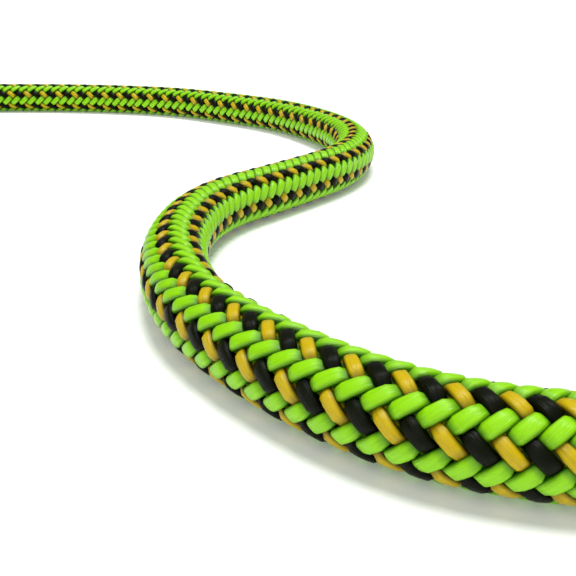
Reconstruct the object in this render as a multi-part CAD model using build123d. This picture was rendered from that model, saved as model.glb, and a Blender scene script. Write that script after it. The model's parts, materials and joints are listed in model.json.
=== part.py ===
"""Dynamic climbing rope, single-rope type: 30 m of sheath and core, put away in a tied coil.

Millimetres, +Z up, with the rope lying on the plane Z = 0. The origin is at the bottom centre of
the bounding box. In plan the coil lies on the -X side and the free stretch snakes along +X.
"""

import os
from math import cos, pi, radians, sin, sqrt, tan

from build123d import *

os.makedirs("parts", exist_ok=True)

# Rope section
rope_diameter = 10.0
sheath_wall = 1.15
inner_core_count = 3
outer_core_count = 9
core_packing = 0.955
core_clearance = 0.07
inner_core_gap = 0.025
marker_yarn_diameter = 0.4
marker_valley = 0
id_tape_width = 1.0
id_tape_thickness = 0.12
id_tape_valley = 4
valley_clearance = 0.08

# Free stretch in plan, from the tip of the near end to the face where the coil takes over
route = [
    (246.5, -96.5),
    (226.0, -92.0),
    (204.0, -89.5),
    (185.0, -88.0),
    (172.0, -81.0),
    (158.5, -65.5),
    (151.0, -51.5),
    (147.0, -30.5),
    (150.0, -7.0),
    (163.5, 10.5),
    (177.5, 30.5),
    (182.5, 52.5),
    (180.0, 74.0),
    (171.5, 96.0),
    (160.5, 114.0),
    (142.5, 131.0),
    (126.0, 145.0),
    (104.5, 153.0),
    (82.5, 157.0),
    (60.0, 157.5),
    (37.0, 156.5),
    (15.5, 157.0),
    (-5.0, 156.6),
]
arc_share = 0.45

# Finished ends: sheath and core fused together, necked down, sleeved and sealed
sleeve_wall = 0.35
sleeve_clearance = 0.05
sleeve_share_of_second_run = 0.5
seal_length = 2.5
seal_round = 1.5
coil_sleeve_length = 32.0

# Coil: rows of turns from the floor up, all on one mean radius
coil_mean_radius = 126.0
turns_per_row = [7, 8, 7, 6, 5, 4]
turn_gap = 0.2
row_pitch_share = 0.9
lead_in_length = 75.0

# Pocket in the top row where the last turn ends
pocket_angle = 190.0
pocket_spare = 8.0
pocket_lift = 0.3

# Hook-and-loop ties round the bundle
tie_angles = [0.0, 120.0, 240.0]
tie_width = 16.0
tie_thickness = 1.2
tie_clearance = 0.3
tab_gap = 0.1
tab_height = 30.0
tab_lowest = 16.0

rope_radius = rope_diameter / 2
turn_pitch = rope_diameter + turn_gap
row_pitch = rope_diameter * row_pitch_share
sheath_inner_radius = rope_radius - sheath_wall
fused_radius = rope_radius - sleeve_wall - sleeve_clearance
sleeve_bore_radius = rope_radius - sleeve_wall


def save(node, shape, colour):
    shape.label = node
    shape.color = Color(colour)
    export_step(shape, os.path.join("parts", node + ".step"))


# ------------------------------------------------------------------ route
def corner_radii(points):
    """One arc for each corner, as large as its shorter run allows."""
    radii = []
    for before, corner, after in zip(points, points[1:], points[2:]):
        run_in = corner - before
        run_out = after - corner
        half_turn = radians(run_in.get_angle(run_out)) / 2
        radii.append(arc_share * min(run_in.length, run_out.length) / tan(half_turn))
    return radii


corners = [Vector(x, y, rope_radius) for x, y in route]
radii = corner_radii(corners)
print("cord radii", [round(r, 1) for r in radii])

tip, first_corner, second_corner = corners[:3]
heading = (first_corner - tip).normalized()
seal_face = tip + heading * seal_length
split = first_corner + (second_corner - first_corner) * sleeve_share_of_second_run
end_line = FilletPolyline(seal_face, first_corner, split, radius=radii[:1])
free_line = FilletPolyline(split, *corners[2:], radius=radii[1:])


def swept(line, section, across=0.0, up=0.0, turn=0.0):
    """A section carried along a line, its centre held across and up from that line."""
    start = Plane(origin=line @ 0, x_dir=(line % 0).cross(Vector(0, 0, 1)), z_dir=line % 0)
    return sweep(start * Pos(across, -up) * Rot(0, 0, turn) * section, path=line)


def pipe(line, outer_radius, inner_radius):
    return swept(line, Circle(outer_radius) - Circle(inner_radius))


# ------------------------------------------------------------------ sheath and core
sheath = pipe(free_line, rope_radius, sheath_inner_radius)
sheath_area = pi * (rope_radius**2 - sheath_inner_radius**2)
print("sheath volume over section times length", sheath.volume / (sheath_area * free_line.length))
save("sheath", sheath, "YellowGreen")

# The outer strands fill a ring just inside the sheath. Each inner one nests between two of them.
half_step = 180 / outer_core_count
core_reach = sheath_inner_radius - core_clearance
widest = 2 * core_reach * sin(radians(half_step)) / (1 + sin(radians(half_step)))
core_strand_diameter = core_packing * widest
outer_core_reach = core_reach - core_strand_diameter / 2
nested = core_strand_diameter + inner_core_gap
inner_core_reach = outer_core_reach * cos(radians(half_step)) - sqrt(
    nested**2 - (outer_core_reach * sin(radians(half_step))) ** 2
)
core_places = [
    (inner_core_reach, half_step + 360 * k / inner_core_count) for k in range(inner_core_count)
] + [(outer_core_reach, 360 * k / outer_core_count) for k in range(outer_core_count)]
strand = Circle(core_strand_diameter / 2)
for number, (reach, angle) in enumerate(core_places, start=1):
    across = reach * cos(radians(angle))
    up = reach * sin(radians(angle))
    save(f"core_strand_{number:02d}", swept(free_line, strand, across, up), "WhiteSmoke")

# The marker yarn and the year tape each lie in a valley between two outer core strands.
def valley_place(valley, thickness):
    angle = radians(360 * (valley + 0.5) / outer_core_count)
    reach = sheath_inner_radius - valley_clearance - thickness / 2
    return reach * cos(angle), reach * sin(angle)


yarn = Circle(marker_yarn_diameter / 2)
across, up = valley_place(marker_valley, marker_yarn_diameter)
save("marker_yarn", swept(free_line, yarn, across, up), "Crimson")

tape = Rectangle(id_tape_thickness, id_tape_width)
across, up = valley_place(id_tape_valley, id_tape_thickness)
tape_turn = 360 * (id_tape_valley + 0.5) / outer_core_count
save("id_tape", swept(free_line, tape, across, up, -tape_turn), "Khaki")


# ------------------------------------------------------------------ near end
def seal_cap(face_centre, outwards):
    """The melted tip: a short disc with a rounded rim, its back on the fused end's face."""
    back = Plane(origin=face_centre, z_dir=outwards)
    disc = extrude(back * Circle(fused_radius), amount=seal_length)
    rims = disc.edges().filter_by(GeomType.CIRCLE)
    rim = max(rims, key=lambda edge: (edge.arc_center - face_centre).length)
    return fillet(rim, seal_round)


save("near_end_fused", swept(end_line, Circle(fused_radius)), "OliveDrab")
save("near_end_sleeve", pipe(end_line, rope_radius, sleeve_bore_radius), "Black")
save("near_end_seal", seal_cap(seal_face, -heading), "DarkOliveGreen")


# ------------------------------------------------------------------ coil
row_heights = [rope_radius + row * row_pitch for row in range(len(turns_per_row))]
row_reaches = [(count - 1) / 2 * turn_pitch for count in turns_per_row]

# The lead-in runs into the bottom row's outermost turn, so the route's last point sets the centre.
coil_face = corners[-1]
first_turn_radius = coil_mean_radius + row_reaches[0]
coil_centre = (coil_face.X - lead_in_length, coil_face.Y - first_turn_radius)


def bundle_outline(grow):
    """The outline round all the turns, in radius and height, grown by an amount."""
    ends = [
        Pos(coil_mean_radius + side * reach, height) * Circle(rope_radius + grow)
        for side in (-1, 1)
        for reach, height in zip(row_reaches, row_heights)
    ]
    return make_hull([edge for end in ends for edge in end.edges()])


def around_coil(section, start_angle, span):
    """A section in radius and height, turned round the coil's upright axis."""
    ring = revolve(Plane.XZ * section, axis=Axis.Z, revolution_arc=span)
    return Pos(*coil_centre) * Rot(0, 0, start_angle) * ring


def arc_angle(length, radius):
    return length / radius * 180 / pi


coil = around_coil(bundle_outline(0), 0, 360)

# The lead-in carries the last run of the free stretch straight on, into the first turn.
lead_in_plane = Plane(origin=coil_face, z_dir=coil_face - corners[-2])
lead_in = extrude(lead_in_plane * Circle(rope_radius), amount=lead_in_length)
coil = coil + lead_in

# The last turn ends in a pocket of the top row, in its outermost place.
end_radius = coil_mean_radius + row_reaches[-1]
end_height = row_heights[-1] + pocket_lift
sleeve_span = arc_angle(coil_sleeve_length, end_radius)
pocket_span = sleeve_span + arc_angle(seal_length + pocket_spare, end_radius)
pocket_inside = end_radius - turn_pitch / 2
pocket_section = Pos(pocket_inside, row_heights[-1] - rope_radius) * Rectangle(
    turn_pitch + rope_diameter, rope_diameter + turn_pitch, align=(Align.MIN, Align.MIN)
)
coil = coil - around_coil(pocket_section, pocket_angle, pocket_span)

# ------------------------------------------------------------------ ties
tie_span = arc_angle(tie_width, coil_mean_radius)
gap_span = arc_angle(tie_clearance, coil_mean_radius)
band_section = bundle_outline(0) - bundle_outline(-tie_thickness)
groove_section = bundle_outline(turn_pitch) - bundle_outline(-tie_thickness - tie_clearance)
tab_window = Pos(coil_mean_radius, tab_lowest) * Rectangle(
    coil_mean_radius, tab_height, align=(Align.MIN, Align.MIN)
)
tab_section = (bundle_outline(tab_gap + tie_thickness) - bundle_outline(tab_gap)) & tab_window

for number, angle in enumerate(tie_angles, start=1):
    start = angle - tie_span / 2
    coil = coil - around_coil(groove_section, start - gap_span, tie_span + 2 * gap_span)
    save(f"tie_band_{number}", around_coil(band_section, start, tie_span), "DimGray")
    save(f"tie_tab_{number}", around_coil(tab_section, start, tie_span), "Black")

save("rope_coil", coil, "YellowGreen")


# ------------------------------------------------------------------ coil end
def on_end_turn(section, start_angle, span):
    """A section centred on the last turn, carried round the coil."""
    return around_coil(Pos(end_radius, end_height) * section, start_angle, span)


save("coil_end_fused", on_end_turn(Circle(fused_radius), pocket_angle, sleeve_span), "OliveDrab")
sleeve_section = Circle(rope_radius) - Circle(sleeve_bore_radius)
save("coil_end_sleeve", on_end_turn(sleeve_section, pocket_angle, sleeve_span), "Black")

end_angle = radians(pocket_angle + sleeve_span)
end_face = Vector(
    coil_centre[0] + end_radius * cos(end_angle),
    coil_centre[1] + end_radius * sin(end_angle),
    end_height,
)
end_heading = Vector(-sin(end_angle), cos(end_angle), 0)
save("coil_end_seal", seal_cap(end_face, end_heading), "DarkOliveGreen")
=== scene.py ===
import json
from math import cos, pi, radians, sin

import bpy
import numpy as np
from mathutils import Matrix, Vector

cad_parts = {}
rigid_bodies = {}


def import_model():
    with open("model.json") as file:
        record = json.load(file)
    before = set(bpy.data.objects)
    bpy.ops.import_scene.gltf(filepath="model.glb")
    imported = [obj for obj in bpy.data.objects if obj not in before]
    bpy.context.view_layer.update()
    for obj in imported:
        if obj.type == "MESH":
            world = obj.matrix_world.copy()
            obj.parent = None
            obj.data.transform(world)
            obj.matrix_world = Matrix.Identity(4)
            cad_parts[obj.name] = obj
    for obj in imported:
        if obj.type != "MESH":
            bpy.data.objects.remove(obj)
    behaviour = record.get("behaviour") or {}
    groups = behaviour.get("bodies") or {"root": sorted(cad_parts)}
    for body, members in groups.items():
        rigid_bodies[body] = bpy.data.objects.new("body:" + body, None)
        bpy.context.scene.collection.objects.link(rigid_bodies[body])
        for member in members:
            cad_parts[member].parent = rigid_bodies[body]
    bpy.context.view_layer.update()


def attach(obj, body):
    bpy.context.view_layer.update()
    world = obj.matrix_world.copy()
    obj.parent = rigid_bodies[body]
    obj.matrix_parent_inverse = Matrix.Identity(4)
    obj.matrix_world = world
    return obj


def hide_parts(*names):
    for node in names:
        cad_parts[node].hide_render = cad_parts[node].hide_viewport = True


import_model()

MM = 0.001

# ---------------------------------------------------------------- the rope's line
# One length of 10 mm dynamic rope. Its near end lies on the floor, the free stretch snakes away,
# and the rest is wound into a coil. Every yarn, ply and turn below follows this one line.
ROPE_RADIUS = 5.0 * MM

FREE_ROUTE = [
    (246.5, -96.5),
    (226.0, -92.0),
    (204.0, -89.5),
    (185.0, -88.0),
    (172.0, -81.0),
    (158.5, -65.5),
    (151.0, -51.5),
    (147.0, -30.5),
    (150.0, -7.0),
    (163.5, 10.5),
    (177.5, 30.5),
    (182.5, 52.5),
    (180.0, 74.0),
    (171.5, 96.0),
    (160.5, 114.0),
    (142.5, 131.0),
    (126.0, 145.0),
    (104.5, 153.0),
    (82.5, 157.0),
    (60.0, 157.5),
    (37.0, 156.5),
    (15.5, 157.0),
    (-5.0, 156.6),
]

COIL_CENTRE = Vector((-80.0, 0.0, 0.0)) * MM
COIL_MEAN_RADIUS = 126.0 * MM
TURNS_PER_ROW = [7, 8, 7, 6, 5, 4]
TURN_PITCH = 10.2 * MM
ROW_PITCH = 9.0 * MM
POINTS_PER_TURN = 36
ENTRY_ANGLE = 90
END_ANGLE = 204
TIE_ANGLES = [0, 120, 240]
LEAD_IN_XS = [-28.0, -54.0, -80.0]

# Each turn steps to its next place just before the entry, and rises a little as it crosses.
CROSSING_STARTS = 285
CROSSING_SPAN = 60
CROSSING_LIFT = 0.9 * MM

# The ties draw the turns together near them, and between them the turns wander a little.
PINCH_HALF_WIDTH = 10
PINCH_FADE = 10
PINCH_ACROSS = 0.045
PINCH_DOWN = 0.067
BUNDLE_MIDDLE = 27.5 * MM
WANDER = 0.35 * MM
WANDER_PACE = 0.37
WANDER_SHIFT = 57


def places_of_turns():
    """The place of each turn in the bundle, as reach from the mean radius and height."""
    places = []
    for row, count in enumerate(TURNS_PER_ROW):
        reaches = [(k - (count - 1) / 2) * TURN_PITCH for k in range(count)]
        if row % 2 == 0:
            reaches.reverse()
        height = ROPE_RADIUS + row * ROW_PITCH
        places += [(reach, height, row) for reach in reaches]
    return places


def ease(share):
    share = min(max(share, 0.0), 1.0)
    return share * share * (3 - 2 * share)


def coil_points():
    """Control points of the wound turns, from the entry on."""
    places = places_of_turns()
    step = 360 / POINTS_PER_TURN
    inside_corner = cos(radians(step / 2))
    turns = len(places) - 1 + (END_ANGLE - ENTRY_ANGLE) / 360
    points = []
    for k in range(1, int(turns * POINTS_PER_TURN) + 1):
        turned = k * step
        turn = int(turned // 360)
        share = ease((turned % 360 - CROSSING_STARTS) / CROSSING_SPAN)
        reach, height, row = places[turn]
        if turn + 1 < len(places):
            next_reach, next_height, next_row = places[turn + 1]
            reach += (next_reach - reach) * share
            height += (next_height - height) * share
            row += (next_row - row) * share
        height += row * CROSSING_LIFT * (1 - (2 * share - 1) ** 2)
        angle = ENTRY_ANGLE + turned
        from_tie = min(abs((angle - tie + 180) % 360 - 180) for tie in TIE_ANGLES)
        pinch = 1 - ease((from_tie - PINCH_HALF_WIDTH) / PINCH_FADE)
        reach *= 1 - PINCH_ACROSS * pinch
        height = BUNDLE_MIDDLE + (height - BUNDLE_MIDDLE) * (1 - PINCH_DOWN * pinch)
        wander = sin(radians(angle * WANDER_PACE + turn * WANDER_SHIFT)) * WANDER
        radius = (COIL_MEAN_RADIUS + reach + wander) / inside_corner
        spot = COIL_CENTRE + Vector((cos(radians(angle)), sin(radians(angle)), 0)) * radius
        spot.z = height
        points.append(spot)
    return points


free_points = [Vector((x * MM, y * MM, ROPE_RADIUS)) for x, y in FREE_ROUTE]
lead_in_points = [Vector((x * MM, free_points[-1].y, ROPE_RADIUS)) for x in LEAD_IN_XS]
control_points = free_points + lead_in_points + coil_points()


def line_through(points, resolution):
    """The points of the smooth line that has these control points."""
    route = bpy.data.curves.new("rope_line", "CURVE")
    route.dimensions = "3D"
    spline = route.splines.new("NURBS")
    spline.points.add(len(points) - 1)
    for point, place in zip(spline.points, points):
        point.co = (*place, 1)
    spline.order_u = 3
    spline.use_endpoint_u = True
    spline.resolution_u = resolution
    holder = bpy.data.objects.new("rope_line", route)
    bpy.context.scene.collection.objects.link(holder)
    mesh = bpy.data.meshes.new_from_object(holder)
    line = np.array([v.co for v in mesh.vertices])
    bpy.data.meshes.remove(mesh)
    bpy.data.objects.remove(holder)
    bpy.data.curves.remove(route)
    return line


def lengths_along(line):
    steps = np.linalg.norm(np.diff(line, axis=0), axis=1)
    return np.concatenate([[0.0], np.cumsum(steps)])


# The free stretch is read more finely than the coil, because its yarns are made one by one. They
# go on into the first turn, and end just past the first tie that they meet, inside the coil's tube.
COIL_RESOLUTION = 3
FREE_RESOLUTION = 24
WOUND_POINTS_WITH_YARNS = 4
whole_line = line_through(control_points, COIL_RESOLUTION)
points_with_yarns = len(free_points) + len(lead_in_points) + WOUND_POINTS_WITH_YARNS
free_line = line_through(control_points[:points_with_yarns], FREE_RESOLUTION)


# ---------------------------------------------------------------- the braided sheath
# Twenty-four polyamide yarns, twelve each way, plaited two over and two under round the core.
# The right-handed yarns are all lime green. The left-handed ones are black and gold in turn, which
# gives the columns of black and gold floats between the green ones.
YARNS_EACH_WAY = 12

# What changes along the rope, as metres from its near end and the value there: the lay in mm, the
# degrees that the whole plait is turned by, and how much longer a green float is than the others.
# The count of lays starts at FIRST_LAY, which sets which yarn lies uppermost at the near end.
LAY_STEPS = [
    (0.0, 25.0),
    (0.065, 27.5),
    (0.09, 37.0),
    (0.12, 38.0),
    (0.145, 33.0),
    (0.175, 29.0),
    (0.215, 34.5),
    (0.28, 41.0),
    (0.305, 37.5),
    (0.33, 43.5),
    (0.36, 36.5),
]
TWIST_STEPS = [
    (0.0, -24.0),
    (0.09, -22.0),
    (0.13, -19.0),
    (0.19, -18.0),
    (0.215, -30.0),
    (0.24, -36.0),
    (0.28, -30.0),
]
SPREAD_STEPS = [(0.0, 0.0), (0.085, 0.0), (0.135, 0.3), (0.235, 0.3), (0.285, 0.12)]
FIRST_LAY = -2.25
LAY_SAMPLES = 4000
PICKS_PER_MAP = 8

YARN_RISE = 0.42 * MM
YARN_THICKNESS = 1.14 * MM
YARN_STEP = 0.55 * MM
YARN_SIDES = 14
YARN_SQUARENESS = 0.8
YARN_TAPER = 0.21
RIGHT_HAND_START = -0.5
LEFT_HAND_START = 2.5


class Thread:
    """A node's socket, so that sums on it read as plain maths and add their own Math nodes."""

    def __init__(self, loom, socket):
        self.loom = loom
        self.socket = socket

    def maths(self, operation, *others):
        return self.loom.sum_of(operation, self, *others)

    def kept_within(self, low, high):
        return self.maths("MAXIMUM", low).maths("MINIMUM", high)

    def __add__(self, other):
        return self.maths("ADD", other)

    __radd__ = __add__

    def __sub__(self, other):
        return self.maths("SUBTRACT", other)

    def __rsub__(self, other):
        return self.loom.sum_of("SUBTRACT", other, self)

    def __mul__(self, other):
        return self.maths("MULTIPLY", other)

    __rmul__ = __mul__

    def __truediv__(self, other):
        return self.maths("DIVIDE", other)

    def __mod__(self, other):
        return self.maths("FLOORED_MODULO", other)


class Loom:
    """A node tree, and the one way in which any node is added to it."""

    def __init__(self, tree):
        self.tree = tree

    def sum_of(self, operation, *values):
        return self.add("ShaderNodeMath", {"operation": operation}, dict(enumerate(values)))

    def add(self, kind, settings=None, sockets=None, output=None):
        node = self.tree.nodes.new(kind)
        for name, value in (settings or {}).items():
            if name == "stops":
                self.set_stops(node.color_ramp, value)
            elif name == "captured":
                for word, data in value.items():
                    node.capture_items.new(data, word)
            else:
                setattr(node, name, value)
        for name, value in (sockets or {}).items():
            socket = self.pick(node.inputs, name)
            if isinstance(value, Thread):
                self.tree.links.new(value.socket, socket)
            else:
                socket.default_value = value
        made = [s for s in node.outputs if s.enabled and s.type != "CUSTOM"]
        if output == "all":
            return {s.name: Thread(self, s) for s in made}
        return Thread(self, self.pick(made, output or 0)) if made else None

    def dyed(self, share, deep, bright):
        """A colour between two, each a thread or red, green and blue."""
        ends = [c if isinstance(c, Thread) else (*c, 1.0) for c in (deep, bright)]
        sockets = {"Factor": share, "A": ends[0], "B": ends[1]}
        return self.add("ShaderNodeMix", {"data_type": "RGBA"}, sockets)

    def relief(self, height, strength, distance):
        sockets = {"Height": height, "Strength": strength, "Distance": distance}
        return self.add("ShaderNodeBump", sockets=sockets)

    def feed(self, shader, **threads):
        """Joins threads to a shader's sockets, as in Base_Color=colour."""
        for name, thread in threads.items():
            self.tree.links.new(thread.socket, shader.inputs[name.replace("_", " ")])

    @staticmethod
    def pick(sockets, name):
        if isinstance(name, int):
            return sockets[name]
        return next(s for s in sockets if s.name == name and s.enabled)

    @staticmethod
    def set_stops(ramp, stops):
        while len(ramp.elements) > 1:
            ramp.elements.remove(ramp.elements[-1])
        for k, (place, colour) in enumerate(stops):
            stop = ramp.elements[0] if k == 0 else ramp.elements.new(place)
            stop.position = place
            stop.color = (*colour, 1.0)


def geometry_loom(name, inputs):
    """A Geometry Nodes tree with these named inputs, and the threads that they arrive on."""
    tree = bpy.data.node_groups.new(name, "GeometryNodeTree")
    tree.interface.new_socket(name="Geometry", in_out="OUTPUT", socket_type="NodeSocketGeometry")
    tree.interface.new_socket(name="Line", in_out="INPUT", socket_type="NodeSocketGeometry")
    for word, kind in inputs.items():
        tree.interface.new_socket(name=word, in_out="INPUT", socket_type=f"NodeSocket{kind}")
    loom = Loom(tree)
    return loom, loom.add("NodeGroupInput", output="all")


def on_line(line, **numbers):
    """A mesh that is a bare line, with a number for each of its points under each name."""
    mesh = bpy.data.meshes.new("line")
    edges = [(k, k + 1) for k in range(len(line) - 1)]
    mesh.from_pydata([tuple(p) for p in line], edges, [])
    for word, values in numbers.items():
        mesh.attributes.new(word, "FLOAT", "POINT").data.foreach_set("value", values)
    return mesh


def map_skin(piece, name, sides, heights):
    """A map of a tube's skin: the share of the way round, and the height given for each point."""
    mesh = piece.data
    spots = np.empty(len(mesh.loops), dtype=np.int32)
    mesh.loops.foreach_get("vertex_index", spots)
    starts = np.empty(len(mesh.polygons), dtype=np.int32)
    corners = np.empty(len(mesh.polygons), dtype=np.int32)
    mesh.polygons.foreach_get("loop_start", starts)
    mesh.polygons.foreach_get("loop_total", corners)
    quads = starts[corners == 4][:, None] + np.arange(4)
    around = spots % sides
    closing = quads[around[quads].ptp(axis=1) == sides - 1].ravel()
    around[closing[around[closing] == 0]] = sides
    skin = np.stack([around / sides, heights[spots]], axis=1)
    layer = mesh.uv_layers.new(name=name)
    layer.data.foreach_set("uv", skin.astype(np.float32).ravel())


def woven(name, line_mesh, loom, values):
    """Runs a tree on a line with these inputs, and keeps the result as a plain mapped mesh."""
    holder = bpy.data.objects.new("holder", line_mesh)
    bpy.context.scene.collection.objects.link(holder)
    modifier = holder.modifiers.new("loom", "NODES")
    modifier.node_group = loom.tree
    for item in loom.tree.interface.items_tree:
        if item.in_out == "INPUT" and item.name in values:
            modifier[item.identifier] = values[item.name]
    evaluated = holder.evaluated_get(bpy.context.evaluated_depsgraph_get())
    mesh = bpy.data.meshes.new_from_object(evaluated)
    mesh.name = name
    bpy.data.objects.remove(holder)
    piece = bpy.data.objects.new(name, mesh)
    bpy.context.scene.collection.objects.link(piece)
    picks = np.empty(len(mesh.vertices), dtype=np.float32)
    mesh.attributes["pick"].data.foreach_get("value", picks)
    if picks.ptp() > 0:
        map_skin(piece, "OFBake", YARN_SIDES, picks / PICKS_PER_MAP)
    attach(piece, "root")
    return piece


def between_steps(steps, lengths):
    return np.interp(lengths, [length for length, _ in steps], [value for _, value in steps])


def lays_along(lengths):
    """How many times a yarn has gone round the rope by each length from its near end."""
    fine = np.linspace(0.0, lengths[-1], LAY_SAMPLES)
    lay = between_steps(LAY_STEPS, fine) * MM
    per_step = np.diff(fine) * 2 / (lay[1:] + lay[:-1])
    return FIRST_LAY + np.interp(lengths, fine, np.concatenate([[0.0], np.cumsum(per_step)]))


def twist_along(lengths):
    return np.radians(between_steps(TWIST_STEPS, lengths))


def flattened(swing):
    """A wave between -1 and 1, with its crests and troughs made broader."""
    return 1.5 * swing - 0.5 * swing * swing * swing


def braid_loom():
    """Yarns of one hand along a line. Each rises over two yarns of the other hand, then dives
    under two, and its float is broad and smooth on top. Where Woven is 0 they only twist."""
    loom, given = geometry_loom(
        "braided_yarns",
        {
            "Yarns": "Int",
            "First": "Float",
            "Every": "Float",
            "Hand": "Float",
            "Start": "Float",
            "Reach": "Float",
            "Rise": "Float",
            "Woven": "Float",
            "Width": "Float",
            "Thickness": "Float",
            "Step": "Float",
            "Yarn": "Material",
        },
    )
    line = loom.add("GeometryNodeMeshToCurve", sockets={"Mesh": given["Line"]})
    even = {"Curve": line, "Length": given["Step"]}
    line = loom.add("GeometryNodeResampleCurve", {"mode": "LENGTH"}, even)
    facts = {"middle": "VECTOR", "heading": "VECTOR", "run": "FLOAT", "lays": "FLOAT"}
    facts |= {"twist": "FLOAT", "spread": "FLOAT"}
    number = {"data_type": "FLOAT"}
    held = loom.add(
        "GeometryNodeCaptureAttribute",
        {"captured": facts},
        {
            "Geometry": line,
            "middle": loom.add("GeometryNodeInputPosition"),
            "heading": loom.add("GeometryNodeInputTangent"),
            "run": loom.add("GeometryNodeSplineParameter", output="Length"),
            "lays": loom.add("GeometryNodeInputNamedAttribute", number, {"Name": "lays"}),
            "twist": loom.add("GeometryNodeInputNamedAttribute", number, {"Name": "twist"}),
            "spread": loom.add("GeometryNodeInputNamedAttribute", number, {"Name": "spread"}),
        },
        output="all",
    )
    copies = loom.add(
        "GeometryNodeDuplicateElements",
        {"domain": "SPLINE"},
        {"Geometry": held["Geometry"], "Amount": given["Yarns"]},
        output="all",
    )
    carrier = given["First"] + copies["Duplicate Index"] * given["Every"]

    turn = 2 * pi * (carrier / YARNS_EACH_WAY + given["Hand"] * held["lays"]) + held["twist"]
    pick = 2 * YARNS_EACH_WAY * held["lays"] + 2 * given["Hand"] * carrier + given["Start"]
    swing = (pick * (pi / 2)).maths("COSINE") + given["Hand"] * held["spread"]
    swing = flattened(flattened(swing.kept_within(-1.0, 1.0)))
    rise = 1 - given["Woven"] * (1 - swing)

    def vector(operation, *vectors, **scale):
        sockets = dict(enumerate(vectors)) | scale
        return loom.add("ShaderNodeVectorMath", {"operation": operation}, sockets)

    up = (0.0, 0.0, 1.0)
    side = vector("NORMALIZE", vector("CROSS_PRODUCT", up, held["heading"]))
    top = vector("CROSS_PRODUCT", held["heading"], side)
    out = vector(
        "ADD",
        vector("SCALE", side, Scale=turn.maths("SINE")),
        vector("SCALE", top, Scale=turn.maths("COSINE")),
    )
    reach = given["Reach"] + given["Rise"] * rise
    place = vector("ADD", held["middle"], vector("SCALE", out, Scale=reach))
    yarn = loom.add(
        "GeometryNodeSetPosition", sockets={"Geometry": copies["Geometry"], "Position": place}
    )
    yarn = loom.add("GeometryNodeSetCurveNormal", {"mode": "FREE"}, {"Curve": yarn, "Normal": out})
    circle = {"Resolution": YARN_SIDES, "Radius": 0.5}
    section = loom.add("GeometryNodeCurvePrimitiveCircle", sockets=circle)
    around = loom.add("GeometryNodeSplineParameter", output="Factor") * (2 * pi)

    def squared(wave, size):
        """A wave of half this size, with blunter crests than a sine has."""
        blunt = wave.maths("ABSOLUTE").maths("POWER", YARN_SQUARENESS)
        return wave.maths("SIGN") * blunt * size * 0.5

    rim = {
        "X": squared(around.maths("COSINE"), given["Thickness"]),
        "Y": squared(around.maths("SINE"), given["Width"]),
        "Z": 0.0,
    }
    rim = loom.add("ShaderNodeCombineXYZ", sockets=rim)
    section = loom.add("GeometryNodeSetPosition", sockets={"Geometry": section, "Position": rim})
    section = loom.add(
        "GeometryNodeCaptureAttribute",
        {"captured": {"crown": "FLOAT", "flank": "FLOAT"}},
        {
            "Geometry": section,
            "crown": around.maths("COSINE"),
            "flank": around.maths("SINE"),
        },
        output="all",
    )
    mesh = loom.add(
        "GeometryNodeCurveToMesh",
        sockets={
            "Curve": yarn,
            "Profile Curve": section["Geometry"],
            "Scale": 1 - YARN_TAPER + YARN_TAPER * rise,
            "Fill Caps": True,
        },
    )
    kept = {"crown": section["crown"], "flank": section["flank"], "height": rise}
    kept |= {"along": held["run"], "carrier": carrier, "pick": pick}
    for word, value in kept.items():
        mesh = loom.add(
            "GeometryNodeStoreNamedAttribute",
            {"data_type": "FLOAT", "domain": "POINT"},
            {"Geometry": mesh, "Name": word, "Value": value},
        )
    mesh = loom.add("GeometryNodeSetShadeSmooth", sockets={"Geometry": mesh})
    mesh = loom.add("GeometryNodeRealizeInstances", sockets={"Geometry": mesh})
    mesh = loom.add(
        "GeometryNodeSetMaterial", sockets={"Geometry": mesh, "Material": given["Yarn"]}
    )
    loom.add("NodeGroupOutput", sockets={"Geometry": mesh})
    return loom


def colour_of(hexadecimal):
    """A colour as the shader takes it, from the six digits that a dyer's chart gives."""
    parts = [int(hexadecimal[k : k + 2], 16) / 255 for k in (0, 2, 4)]
    return tuple(c / 12.92 if c < 0.04045 else ((c + 0.055) / 1.055) ** 2.4 for c in parts)


def finish_named(name, roughness, specular=0.5):
    """A new material, its loom, and its shader with the numbers that don't vary."""
    material = bpy.data.materials.new(name)
    material.use_nodes = True
    loom = Loom(material.node_tree)
    shader = material.node_tree.nodes["Principled BSDF"]
    shader.inputs["Roughness"].default_value = roughness
    shader.inputs["Specular IOR Level"].default_value = specular
    return material, loom, shader


FILAMENT_RELIEF = 0.14 * MM


def dyed_yarn(name, deep, bright, roughness, specular=0.4):
    """Dyed polyamide yarn: a satin bundle of fine filaments. Its colour runs from a shaded tone to
    a lit tone: painted shade darkens it where a float dives and down its flanks, where it lies
    against its neighbours. Broad streaks, partly dye and partly painted sheen, and fine filaments
    both run along it, a little aslant from its own twist."""
    material, loom, shader = finish_named(name, roughness, specular)
    crown, flank, height, along, carrier = (
        loom.add("ShaderNodeAttribute", {"attribute_name": word}, output="Fac")
        for word in ("crown", "flank", "height", "along", "carrier")
    )

    def streaks(x, y, z):
        spot = loom.add("ShaderNodeCombineXYZ", sockets={"X": x, "Y": y, "Z": z})
        return loom.add("ShaderNodeTexNoise", sockets={"Vector": spot, "Scale": 1.0}, output="Fac")

    # Painted shade: darker down the flanks (top) and where the float dives (risen). The broad
    # streaks add dye streaks and painted sheen.
    top = (crown * 1.5 - 0.05).kept_within(0.0, 1.0)
    risen = (height * 0.8 + 0.25).kept_within(0.0, 1.0)
    broad = streaks(along * 250.0, flank * 2.5 + along * 300.0, carrier * 3.0)
    fine = streaks(along * 500.0, flank * 9.0 + along * 1200.0, crown * 9.0 + carrier)
    shade = (top * risen * (0.65 + 0.7 * broad)).maths("MINIMUM", 1.0)
    grain = loom.relief(fine, 0.6, FILAMENT_RELIEF)
    loom.feed(shader, Base_Color=loom.dyed(shade, deep, bright), Normal=grain)
    return material


# Each pair is one yarn's painted-shade tone and its lit tone.
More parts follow.
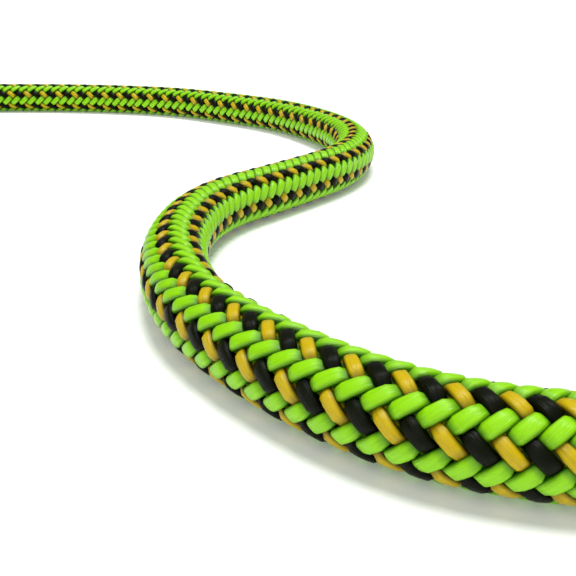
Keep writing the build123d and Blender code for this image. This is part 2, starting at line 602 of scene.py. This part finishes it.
LIME = colour_of("2A6A02"), colour_of("94DD02")
BLACK = colour_of("020300"), colour_of("0B1002")
GOLD = colour_of("4A3E01"), colour_of("CCB001")
lime_yarn = dyed_yarn("lime_yarn", *LIME, 0.3, 0.32)
black_yarn = dyed_yarn("black_yarn", *BLACK, 0.33, 0.09)
gold_yarn = dyed_yarn("gold_yarn", *GOLD, 0.27, 0.28)

SLEEVE_ENDS = 31.5 * MM
free_lengths = lengths_along(free_line)
bare = free_lengths > SLEEVE_ENDS
free_mesh = on_line(
    free_line[bare],
    lays=lays_along(free_lengths[bare]),
    twist=twist_along(free_lengths[bare]),
    spread=between_steps(SPREAD_STEPS, free_lengths[bare]),
)
braid = braid_loom()
for name, first, hand, start, reach, width, material in [
    ("lime_yarns_a", 0.0, 1.0, RIGHT_HAND_START, 4.03 * MM, 1.76 * MM, lime_yarn),
    ("lime_yarns_b", 1.0, 1.0, RIGHT_HAND_START, 4.03 * MM, 1.76 * MM, lime_yarn),
    ("black_yarns", 0.0, -1.0, LEFT_HAND_START, 4.01 * MM, 1.7 * MM, black_yarn),
    ("gold_yarns", 1.0, -1.0, LEFT_HAND_START, 3.97 * MM, 1.52 * MM, gold_yarn),
]:
    sizes = {
        "Yarns": YARNS_EACH_WAY // 2,
        "First": first,
        "Every": 2.0,
        "Hand": hand,
        "Start": start,
        "Reach": reach,
        "Rise": YARN_RISE,
        "Woven": 1.0,
        "Width": width,
        "Thickness": YARN_THICKNESS,
        "Step": YARN_STEP,
        "Yarn": material,
    }
    woven(name, free_mesh, braid, sizes)


# ---------------------------------------------------------------- the rope in the coil
# The same rope, wound round and round for storage. Its sheath here is one long tube with the plait
# worked out on its skin. In the free stretch the tube thins, and the real yarns lie on it.
LINER_RADIUS = 3.95 * MM
LINER_ENDS = 0.640
LINER_FADE = 4 * MM
COIL_TUBE_RADIUS = ROPE_RADIUS - 0.12 * MM
TUBE_SIDES = 16
TUBE_END_INSET = 3 * MM
HALF_YARNS_PER_SPACING = 1.55
PLAIT_RISE = 0.28
PLAIT_CROWN = 0.36
COLOUR_EDGE = 14
FULLY_LIT_SHARE = 1.6
COIL_SPREAD = SPREAD_STEPS[-1][1]
HANDS = [(1, RIGHT_HAND_START), (-1, LEFT_HAND_START)]

# The bake map repeats once a lay. The lay that it draws starts here, well inside the coil.
MAP_START_LAY = 300


def plait_on_skin(loom):
    """How high the yarns of each hand stand at a point of the skin, in mm, and which are gold."""
    spot = loom.add("ShaderNodeUVMap", {"uv_map": "plait"})
    spot = loom.add("ShaderNodeSeparateXYZ", sockets={"Vector": spot}, output="all")
    across, along = spot["X"] * YARNS_EACH_WAY, spot["Y"] * YARNS_EACH_WAY
    heights = []
    for hand, start in HANDS:
        carrier = across - hand * along
        middle = (carrier + 0.5).maths("FLOOR")
        swing = ((2 * along + 2 * hand * middle + start) * (pi / 2)).maths("COSINE")
        swing = (swing + hand * COIL_SPREAD).kept_within(-1.0, 1.0)
        aside = (carrier - middle) * HALF_YARNS_PER_SPACING
        crown = (1 - aside * aside).maths("MAXIMUM", 0.0).maths("SQRT")
        heights.append(PLAIT_RISE * flattened(swing) + PLAIT_CROWN * crown)
    return heights[0], heights[1], (middle % 2).maths("GREATER_THAN", 0.5)


def plaited_skin(name):
    """The plait's colours and relief. A yarn is darker where it dives and at its edges, as painted
    shade: each colour runs from its shaded tone to its lit tone.
    """
    material, loom, shader = finish_named(name, 0.36, 0.25)
    right, left, gold = plait_on_skin(loom)
    right_on_top = ((right - left) * COLOUR_EDGE + 0.5).kept_within(0.0, 1.0)
    top = right.maths("MAXIMUM", left)
    # Painted shade: the lower a yarn stands, the nearer its colour is to the shaded tone.
    lit = (top * FULLY_LIT_SHARE).kept_within(0.0, 1.0)
    lime, black, gilt = (loom.dyed(lit, *ends) for ends in (LIME, BLACK, GOLD))
    colour = loom.dyed(right_on_top, loom.dyed(gold, black, gilt), lime)
    loom.feed(shader, Base_Color=colour, Normal=loom.relief(top, 1.0, 1.0 * MM))
    return material


def tube_on_line(name, line, radii, sides, twist):
    """A closed-ended tube of rings round a line. The points of a ring go from the top towards the
    left of travel, and the twist turns them."""
    heading = np.gradient(line, axis=0)
    heading /= np.linalg.norm(heading, axis=1)[:, None]
    left = np.cross((0.0, 0.0, 1.0), heading)
    left /= np.linalg.norm(left, axis=1)[:, None]
    top = np.cross(heading, left)
    turn = 2 * pi * np.arange(sides)[None, :] / sides + twist[:, None]
    out = np.sin(turn)[..., None] * left[:, None, :] + np.cos(turn)[..., None] * top[:, None, :]
    spots = (line[:, None, :] + out * radii[:, None, None]).reshape(-1, 3)
    faces = []
    for ring in range(len(line) - 1):
        for k in range(sides):
            a, b = ring * sides + k, ring * sides + (k + 1) % sides
            faces.append((a, b, b + sides, a + sides))
    faces.append(tuple(reversed(range(sides))))
    faces.append(tuple(range((len(line) - 1) * sides, len(line) * sides)))
    mesh = bpy.data.meshes.new(name)
    mesh.from_pydata([tuple(p) for p in spots], [], faces)
    mesh.shade_smooth()
    piece = bpy.data.objects.new(name, mesh)
    bpy.context.scene.collection.objects.link(piece)
    return piece


whole_lengths = lengths_along(whole_line)
tube_end = whole_lengths[-1] - TUBE_END_INSET
inside_ends = (whole_lengths > TUBE_END_INSET) & (whole_lengths < tube_end)
tube_line, tube_lengths = whole_line[inside_ends], whole_lengths[inside_ends]
widening = np.clip((tube_lengths - LINER_ENDS) / LINER_FADE, 0.0, 1.0)
tube_radii = LINER_RADIUS + (COIL_TUBE_RADIUS - LINER_RADIUS) * widening
rope_tube = tube_on_line(
    "rope_sheath", tube_line, tube_radii, TUBE_SIDES, twist_along(tube_lengths)
)
tube_lays = np.repeat(lays_along(tube_lengths), TUBE_SIDES)
map_skin(rope_tube, "plait", TUBE_SIDES, tube_lays)
map_skin(rope_tube, "OFBake", TUBE_SIDES, tube_lays - MAP_START_LAY)
rope_tube.data.materials.append(plaited_skin("plaited_yarns"))
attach(rope_tube, "root")
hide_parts("sheath", "rope_coil")


# ---------------------------------------------------------------- the core
# Twelve white polyamide strands inside the sheath, three in the middle and nine round them. Each
# is three plies twisted together, and they carry most of a fall.
PLY_LAY = 11.0 * MM
STRAND_REACHES = [1.10 * MM] * 3 + [2.86 * MM] * 9
STRAND_ANGLES = [20 + 120 * k for k in range(3)] + [40 * k for k in range(9)]


def beside_line(line, reach, angle):
    """The line of a yarn that keeps one place in the rope's section, from its right side round."""
    heading = np.gradient(line, axis=0)
    heading /= np.linalg.norm(heading, axis=1)[:, None]
    right = np.cross(heading, (0.0, 0.0, 1.0))
    right /= np.linalg.norm(right, axis=1)[:, None]
    top = np.cross(right, heading)
    return line + reach * (cos(radians(angle)) * right + sin(radians(angle)) * top)


# Its two colours are the painted-shade tone and the lit tone of white yarn.
white_yarn = dyed_yarn("white_yarn", colour_of("8E8A80"), colour_of("F2F0EA"), 0.5)
core_line = free_line[bare]
for number, (reach, angle) in enumerate(zip(STRAND_REACHES, STRAND_ANGLES), start=1):
    line = beside_line(core_line, reach, angle)
    turns = lengths_along(line) / PLY_LAY
    sizes = {
        "Yarns": 3,
        "First": 0.0,
        "Every": YARNS_EACH_WAY / 3,
        "Hand": 1.0 if number % 2 else -1.0,
        "Start": 0.0,
        "Reach": 0.42 * MM,
        "Rise": 0.0,
        "Woven": 0.0,
        "Width": 0.94 * MM,
        "Thickness": 0.9 * MM,
        "Step": 1.3 * MM,
        "Yarn": white_yarn,
    }
    strand_mesh = on_line(line, lays=turns, twist=np.zeros(len(line)))
    node = f"core_strand_{number:02d}"
    strand = woven(f"core_plies_{number:02d}", strand_mesh, braid, sizes)
    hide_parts(node)


# ---------------------------------------------------------------- the marker yarn and the tape
# A thin red two-ply yarn and a plain flat tape run the whole length under the sheath, each in a
# valley between two outer strands. They tell the rope's kind and age, and this tape is blank.
MARKER_ANGLE = 20.0
TAPE_ANGLE = 180.0


def laid_in_valley(name, node, reach, angle, lay, twist, sizes):
    """A yarn or tape that keeps its place beside the core, twisted with this lay."""
    line = beside_line(core_line, reach, angle)
    turns = lengths_along(line) / lay
    bare_line = on_line(line, lays=turns, twist=np.full(len(line), twist))
    sizes |= {"First": 0.0, "Hand": 1.0, "Start": 0.0, "Rise": 0.0, "Woven": 0.0, "Step": 1.0 * MM}
    piece = woven(name, bare_line, braid, sizes)
    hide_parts(node)
    return piece


marker = laid_in_valley(
    "marker_plies",
    "marker_yarn",
    reach=3.57 * MM,
    angle=MARKER_ANGLE,
    lay=4.0 * MM,
    twist=0.0,
    sizes={
        "Yarns": 2,
        "Every": YARNS_EACH_WAY / 2,
        "Reach": 0.1 * MM,
        "Width": 0.2 * MM,
        "Thickness": 0.2 * MM,
        # The two reds are the yarn's painted-shade tone and its lit tone.
        "Yarn": dyed_yarn("red_yarn", colour_of("5A0408"), colour_of("C8141C"), 0.4),
    },
)
tape = laid_in_valley(
    "plain_tape",
    "id_tape",
    reach=3.71 * MM,
    angle=TAPE_ANGLE,
    lay=np.inf,
    twist=radians(TAPE_ANGLE - 90),
    sizes={
        "Yarns": 1,
        "Every": 1.0,
        "Reach": 0.0,
        "Width": 1.0 * MM,
        "Thickness": 0.12 * MM,
        # The two colours are the tape's painted-shade tone and its lit tone.
        "Yarn": dyed_yarn("plain_tape", colour_of("8A8468"), colour_of("DAD4B4"), 0.45),
    },
)


# ---------------------------------------------------------------- the two finished ends
# At each end the yarns are melted into one and necked down, a black sleeve is shrunk over them so
# tightly that the plait shows through, and the tip is a lumpy rounded bead of melted yarn.
SLEEVE_RADIUS = 4.93 * MM
SLEEVE_SIDES = 72
SLEEVE_RING_STEP = 0.3 * MM
SLEEVE_OVERLAP = 1.0 * MM
FAR_SLEEVE_FROM_TIP = 34.5 * MM
LIP_LENGTH = 0.8 * MM
LIP_DROP = 0.3 * MM
ROLL_FROM_LIP = 1.2 * MM
ROLL_WIDTH = 0.5 * MM
ROLL_HEIGHT = 0.05 * MM
PLAIT_SHOWING = 0.07 * MM
BEAD_RADIUS = 4.6 * MM
BEAD_LENGTH = 2.5 * MM
BEAD_TUCK = 0.4 * MM
BEAD_RINGS = 27
BEAD_SIDES = 64
BEAD_DIMPLE = 0.86
BEAD_BULGE = 0.45
BEAD_DOME = 0.8
LUMPS_ACROSS = 0.018
LUMPS_ALONG = 0.05
LUMP_DRIFT = 900
SEAL_GAP = 0.05 * MM


def plait_relief(lengths, sides):
    """How far the plait stands up under the sleeve at each point of each ring, from 0 to 1."""
    around = np.arange(sides)[None, :] / sides * YARNS_EACH_WAY
    along = lays_along(lengths)[:, None] * YARNS_EACH_WAY
    heights = []
    for hand, start in HANDS:
        carrier = around - hand * along
        middle = np.floor(carrier + 0.5)
        swing = np.cos((2 * along + 2 * hand * middle + start) * pi / 2)
        crown = np.cos((carrier - middle) * pi)
        heights.append((0.5 + 0.5 * flattened(swing)) * crown)
    return np.maximum(heights[0], heights[1])


def shrunk_sleeve(name, whole, lengths_of_whole, start, end, node):
    """A sleeve shrunk over the line from one length to another, with a rolled lip at each end."""
    lengths = np.arange(start, end, SLEEVE_RING_STEP)
    line = [np.interp(lengths, lengths_of_whole, whole[:, k]) for k in range(3)]
    line = np.stack(line, axis=1)
    relief = plait_relief(lengths, SLEEVE_SIDES)
    from_end = np.minimum(lengths - lengths[0], lengths[-1] - lengths)
    lip = np.clip(from_end / LIP_LENGTH, 0.0, 1.0)
    radii = SLEEVE_RADIUS - LIP_DROP * (1 - lip) ** 2
    sleeve = tube_on_line(name, line, radii, SLEEVE_SIDES, twist_along(lengths))
    mesh = sleeve.data
    spots = np.array([v.co for v in mesh.vertices]).reshape(len(line), SLEEVE_SIDES, 3)
    out = spots - line[:, None, :]
    out /= np.linalg.norm(out, axis=2)[..., None]
    roll = ROLL_HEIGHT * np.exp(-(((from_end - ROLL_FROM_LIP) / ROLL_WIDTH) ** 2))
    proud = PLAIT_SHOWING * relief * lip[:, None] + roll[:, None] * (1 - relief)
    spots += out * proud[..., None]
    mesh.vertices.foreach_set("co", spots.astype(np.float32).ravel())
    heights = np.repeat((lengths - lengths[0]) / (lengths[-1] - lengths[0]), SLEEVE_SIDES)
    map_skin(sleeve, "OFBake", SLEEVE_SIDES, heights)
    mesh.materials.append(sleeve_black)
    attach(sleeve, "root")
    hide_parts(node)
    return sleeve


def shrunk_plastic():
    """Shrunk polyolefin: a smooth black skin with a faint mottle."""
    material, loom, shader = finish_named("sleeve_black", 0.4, 0.4)
    spot = loom.add("ShaderNodeTexCoord", output="Object")
    mottle = loom.add("ShaderNodeTexNoise", sockets={"Vector": spot, "Scale": 900.0}, output="Fac")
    cloud = loom.add("ShaderNodeTexNoise", sockets={"Vector": spot, "Scale": 160.0}, output="Fac")
    colour = loom.dyed(cloud, colour_of("0B0B0C"), colour_of("1A1A1C"))
    loom.feed(shader, Base_Color=colour, Roughness=cloud * 0.2 + 0.32)
    loom.feed(shader, Normal=loom.relief(mottle, 0.2, 0.1 * MM))
    return material


def melted_yarn():
    """Melted yarn: dark olive glass with streaks of the lime, gold and black that ran together."""
    material, loom, shader = finish_named("melted_yarn", 0.22, 0.5)
    spot = loom.add("ShaderNodeTexCoord", output="Object")
    swirl = {"Vector": spot, "Scale": 260.0, "Distortion": 2.5, "Detail": 4.0}
    swirl = loom.add("ShaderNodeTexNoise", sockets=swirl, output="Fac")
    stops = [(0.0, colour_of("0A0C05")), (0.42, colour_of("182208")), (0.54, colour_of("31500A"))]
    stops += [(0.62, colour_of("20280A")), (0.74, colour_of("5A480C")), (1.0, colour_of("12140A"))]
    colour = loom.add("ShaderNodeValToRGB", {"stops": stops}, {"Fac": swirl}, output="Color")
    loom.feed(shader, Base_Color=colour, Roughness=swirl * 0.3 + 0.12)
    loom.feed(shader, Normal=loom.relief(swirl, 0.5, 0.3 * MM))
    return material


def melted_bead(name, face, outwards, node):
    """The bead at a tip, from its back on the fused end to its dimpled face."""
    rows = [(BEAD_RADIUS, -BEAD_TUCK)]
    for ring in range(BEAD_RINGS):
        bend = ring / BEAD_RINGS * pi / 2
        rows.append((BEAD_RADIUS * cos(bend) ** BEAD_BULGE, BEAD_LENGTH * sin(bend) ** BEAD_DOME))
    sides = BEAD_SIDES
    across = outwards.cross(Vector((0, 0, 1))).normalized()
    up = across.cross(outwards)
    spots, faces = [], []
    for radius, depth in rows:
        for k in range(sides):
            turn = 2 * pi * k / sides
            drifting = 0.6 * sin(5 * turn + depth * LUMP_DRIFT)
            lump = sin(3 * turn + 1.3) + drifting + 0.4 * sin(9 * turn)
            share = max(depth, 0.0) / BEAD_LENGTH
            rim = radius * (1 - LUMPS_ACROSS * share * (1 + lump / 2))
            spot = face + (across * cos(turn) + up * sin(turn)) * rim
            spots.append(spot + outwards * depth * (1 - LUMPS_ALONG * share * (1 + lump / 2)))
    spots.append(face + outwards * BEAD_LENGTH * BEAD_DIMPLE)
    for row in range(len(rows) - 1):
        for k in range(sides):
            a, b = row * sides + k, row * sides + (k + 1) % sides
            faces.append((a, b, b + sides, a + sides))
    last = (len(rows) - 1) * sides
    faces += [(last + k, last + (k + 1) % sides, len(spots) - 1) for k in range(sides)]
    faces.append(tuple(reversed(range(sides))))
    mesh = bpy.data.meshes.new(name)
    mesh.from_pydata(spots, [], faces)
    mesh.shade_smooth()
    mesh.materials.append(melted)
    bead = bpy.data.objects.new(name, mesh)
    bpy.context.scene.collection.objects.link(bead)
    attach(bead, "root")
    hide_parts(node)
    return bead


sleeve_black = shrunk_plastic()
melted = melted_yarn()
for node in ["near_end_fused", "coil_end_fused"]:
    mesh = bpy.data.objects[node].data
    mesh.materials.clear()
    mesh.materials.append(melted)

near_sleeve = shrunk_sleeve(
    "near_end_shrunk_sleeve",
    free_line,
    free_lengths,
    BEAD_LENGTH + SEAL_GAP,
    SLEEVE_ENDS + SLEEVE_OVERLAP,
    "near_end_sleeve",
)
near_tip = Vector(free_line[0])
near_out = Vector(free_line[0] - free_line[3]).normalized()
near_bead = melted_bead(
    "near_end_bead", near_tip - near_out * BEAD_LENGTH, near_out, "near_end_seal"
)

# The far end lies on the coil's top row, in its outermost place, pressed into its pocket.
far_sleeve = shrunk_sleeve(
    "coil_end_shrunk_sleeve",
    whole_line,
    whole_lengths,
    whole_lengths[-1] - FAR_SLEEVE_FROM_TIP,
    whole_lengths[-1] - BEAD_LENGTH - SEAL_GAP,
    "coil_end_sleeve",
)
far_tip = Vector(whole_line[-1])
far_out = Vector(whole_line[-1] - whole_line[-2]).normalized()
far_bead = melted_bead("coil_end_bead", far_tip - far_out * BEAD_LENGTH, far_out, "coil_end_seal")


# ---------------------------------------------------------------- the ties
# Three straps of hook-and-loop webbing hold the turns. Each band goes round the whole bundle with
# its soft loop side out, and its tab, hook side in, presses onto the outside.
TIE_WIDTH = 16.0 * MM
SELVEDGE = 1.2 * MM
RIB_PITCH = 0.9 * MM
PICK_PITCH = 0.7 * MM
TIE_FACES = [("band", 1.0, "141416", "3C3C40"), ("tab", 0.5, "08080A", "222226")]


def strap_webbing(name, angle, ground, pile, fuzz):
    """Woven polyamide webbing with a raised pile and two flat selvedges."""
    material, loom, shader = finish_named(name, 0.85, 0.25)
    shader.inputs["Sheen Weight"].default_value = 0.25
    shader.inputs["Sheen Roughness"].default_value = 0.5
    spot = loom.add("ShaderNodeTexCoord", output="Object")
    place = {"Vector": spot, "Location": COIL_CENTRE, "Rotation": (0.0, 0.0, radians(angle))}
    spot = loom.add("ShaderNodeMapping", {"vector_type": "TEXTURE"}, place)
    parts = loom.add("ShaderNodeSeparateXYZ", sockets={"Vector": spot}, output="all")
    across, round_it = parts["Y"], parts["X"] + parts["Z"]
    ribs = (across * (2 * pi / RIB_PITCH)).maths("SINE")
    picks = (round_it * (2 * pi / PICK_PITCH)).maths("SINE")
    weave = (ribs * picks + 1) * 0.5
    loops = loom.add("ShaderNodeTexNoise", sockets={"Vector": spot, "Scale": 1500.0}, output="Fac")
    cloud = loom.add("ShaderNodeTexNoise", sockets={"Vector": spot, "Scale": 220.0}, output="Fac")
    edge = across.maths("ABSOLUTE").maths("GREATER_THAN", TIE_WIDTH / 2 - SELVEDGE)
    raised = (1 - edge) * (loops * fuzz + cloud * 0.3) + edge * weave * 0.35
    colour = loom.dyed((raised * 1.3).maths("MINIMUM", 1.0), ground, pile)
    loom.feed(shader, Base_Color=colour, Normal=loom.relief(raised, 0.9, 0.5 * MM))
    return material


for number, angle in enumerate(TIE_ANGLES, start=1):
    for part, fuzz, ground, pile in TIE_FACES:
        webbing = strap_webbing(
            f"tie_{part}_webbing_{number}", angle, colour_of(ground), colour_of(pile), fuzz
        )
        mesh = bpy.data.objects[f"tie_{part}_{number}"].data
        mesh.materials.clear()
        mesh.materials.append(webbing)


# ---------------------------------------------------------------- the floor, the light, the camera
# A plain white floor under a white surround, one broad soft lamp above and behind, a weaker one
# in front, and a camera low over the near end.
FLOOR_REACH = 80.0
CAMERA_PLACE = (0.165, -0.148, 0.0417)
CAMERA_DIP = 20.25

floor_mesh = bpy.data.meshes.new("floor")
corners = [(x * FLOOR_REACH, y * FLOOR_REACH, 0.0) for x, y in [(-1, -1), (1, -1), (1, 1), (-1, 1)]]
floor_mesh.from_pydata(corners, [], [(0, 1, 2, 3)])
floor = bpy.data.objects.new("floor", floor_mesh)
bpy.context.scene.collection.objects.link(floor)
pale, loom, shader = finish_named("pale_floor", 0.6, 0.2)
shader.inputs["Base Color"].default_value = (0.92, 0.92, 0.92, 1)
shader.inputs["Emission Color"].default_value = (1, 1, 1, 1)
shader.inputs["Emission Strength"].default_value = 0.14
floor_mesh.materials.append(pale)

surround = bpy.data.worlds.new("surround")
surround.use_nodes = True
surround.node_tree.nodes["Background"].inputs["Color"].default_value = (1, 1, 1, 1)
surround.node_tree.nodes["Background"].inputs["Strength"].default_value = 0.24
bpy.context.scene.world = surround


def soft_sun(name, towards, softness, strength):
    """A far broad lamp that lights the whole floor evenly from one side."""
    lamp = bpy.data.lights.new(name, "SUN")
    lamp.angle = radians(softness)
    lamp.energy = strength
    holder = bpy.data.objects.new(name, lamp)
    holder.rotation_euler = Vector(towards).to_track_quat("-Z", "Y").to_euler()
    bpy.context.scene.collection.objects.link(holder)


soft_sun("lamp_above", (-0.1, -0.12, -1.0), 26, 2.75)
soft_sun("lamp_front", (0.3, 0.9, -1.0), 50, 1.0)

lens = bpy.data.cameras.new("camera")
lens.lens = 50
lens.sensor_width = 36
lens.clip_start = 0.005
camera = bpy.data.objects.new("camera", lens)
camera.location = CAMERA_PLACE
camera.rotation_euler = (radians(90 - CAMERA_DIP), 0, 0)
bpy.context.scene.collection.objects.link(camera)
bpy.context.scene.camera = camera
bpy.context.scene.view_settings.view_transform = "Standard"
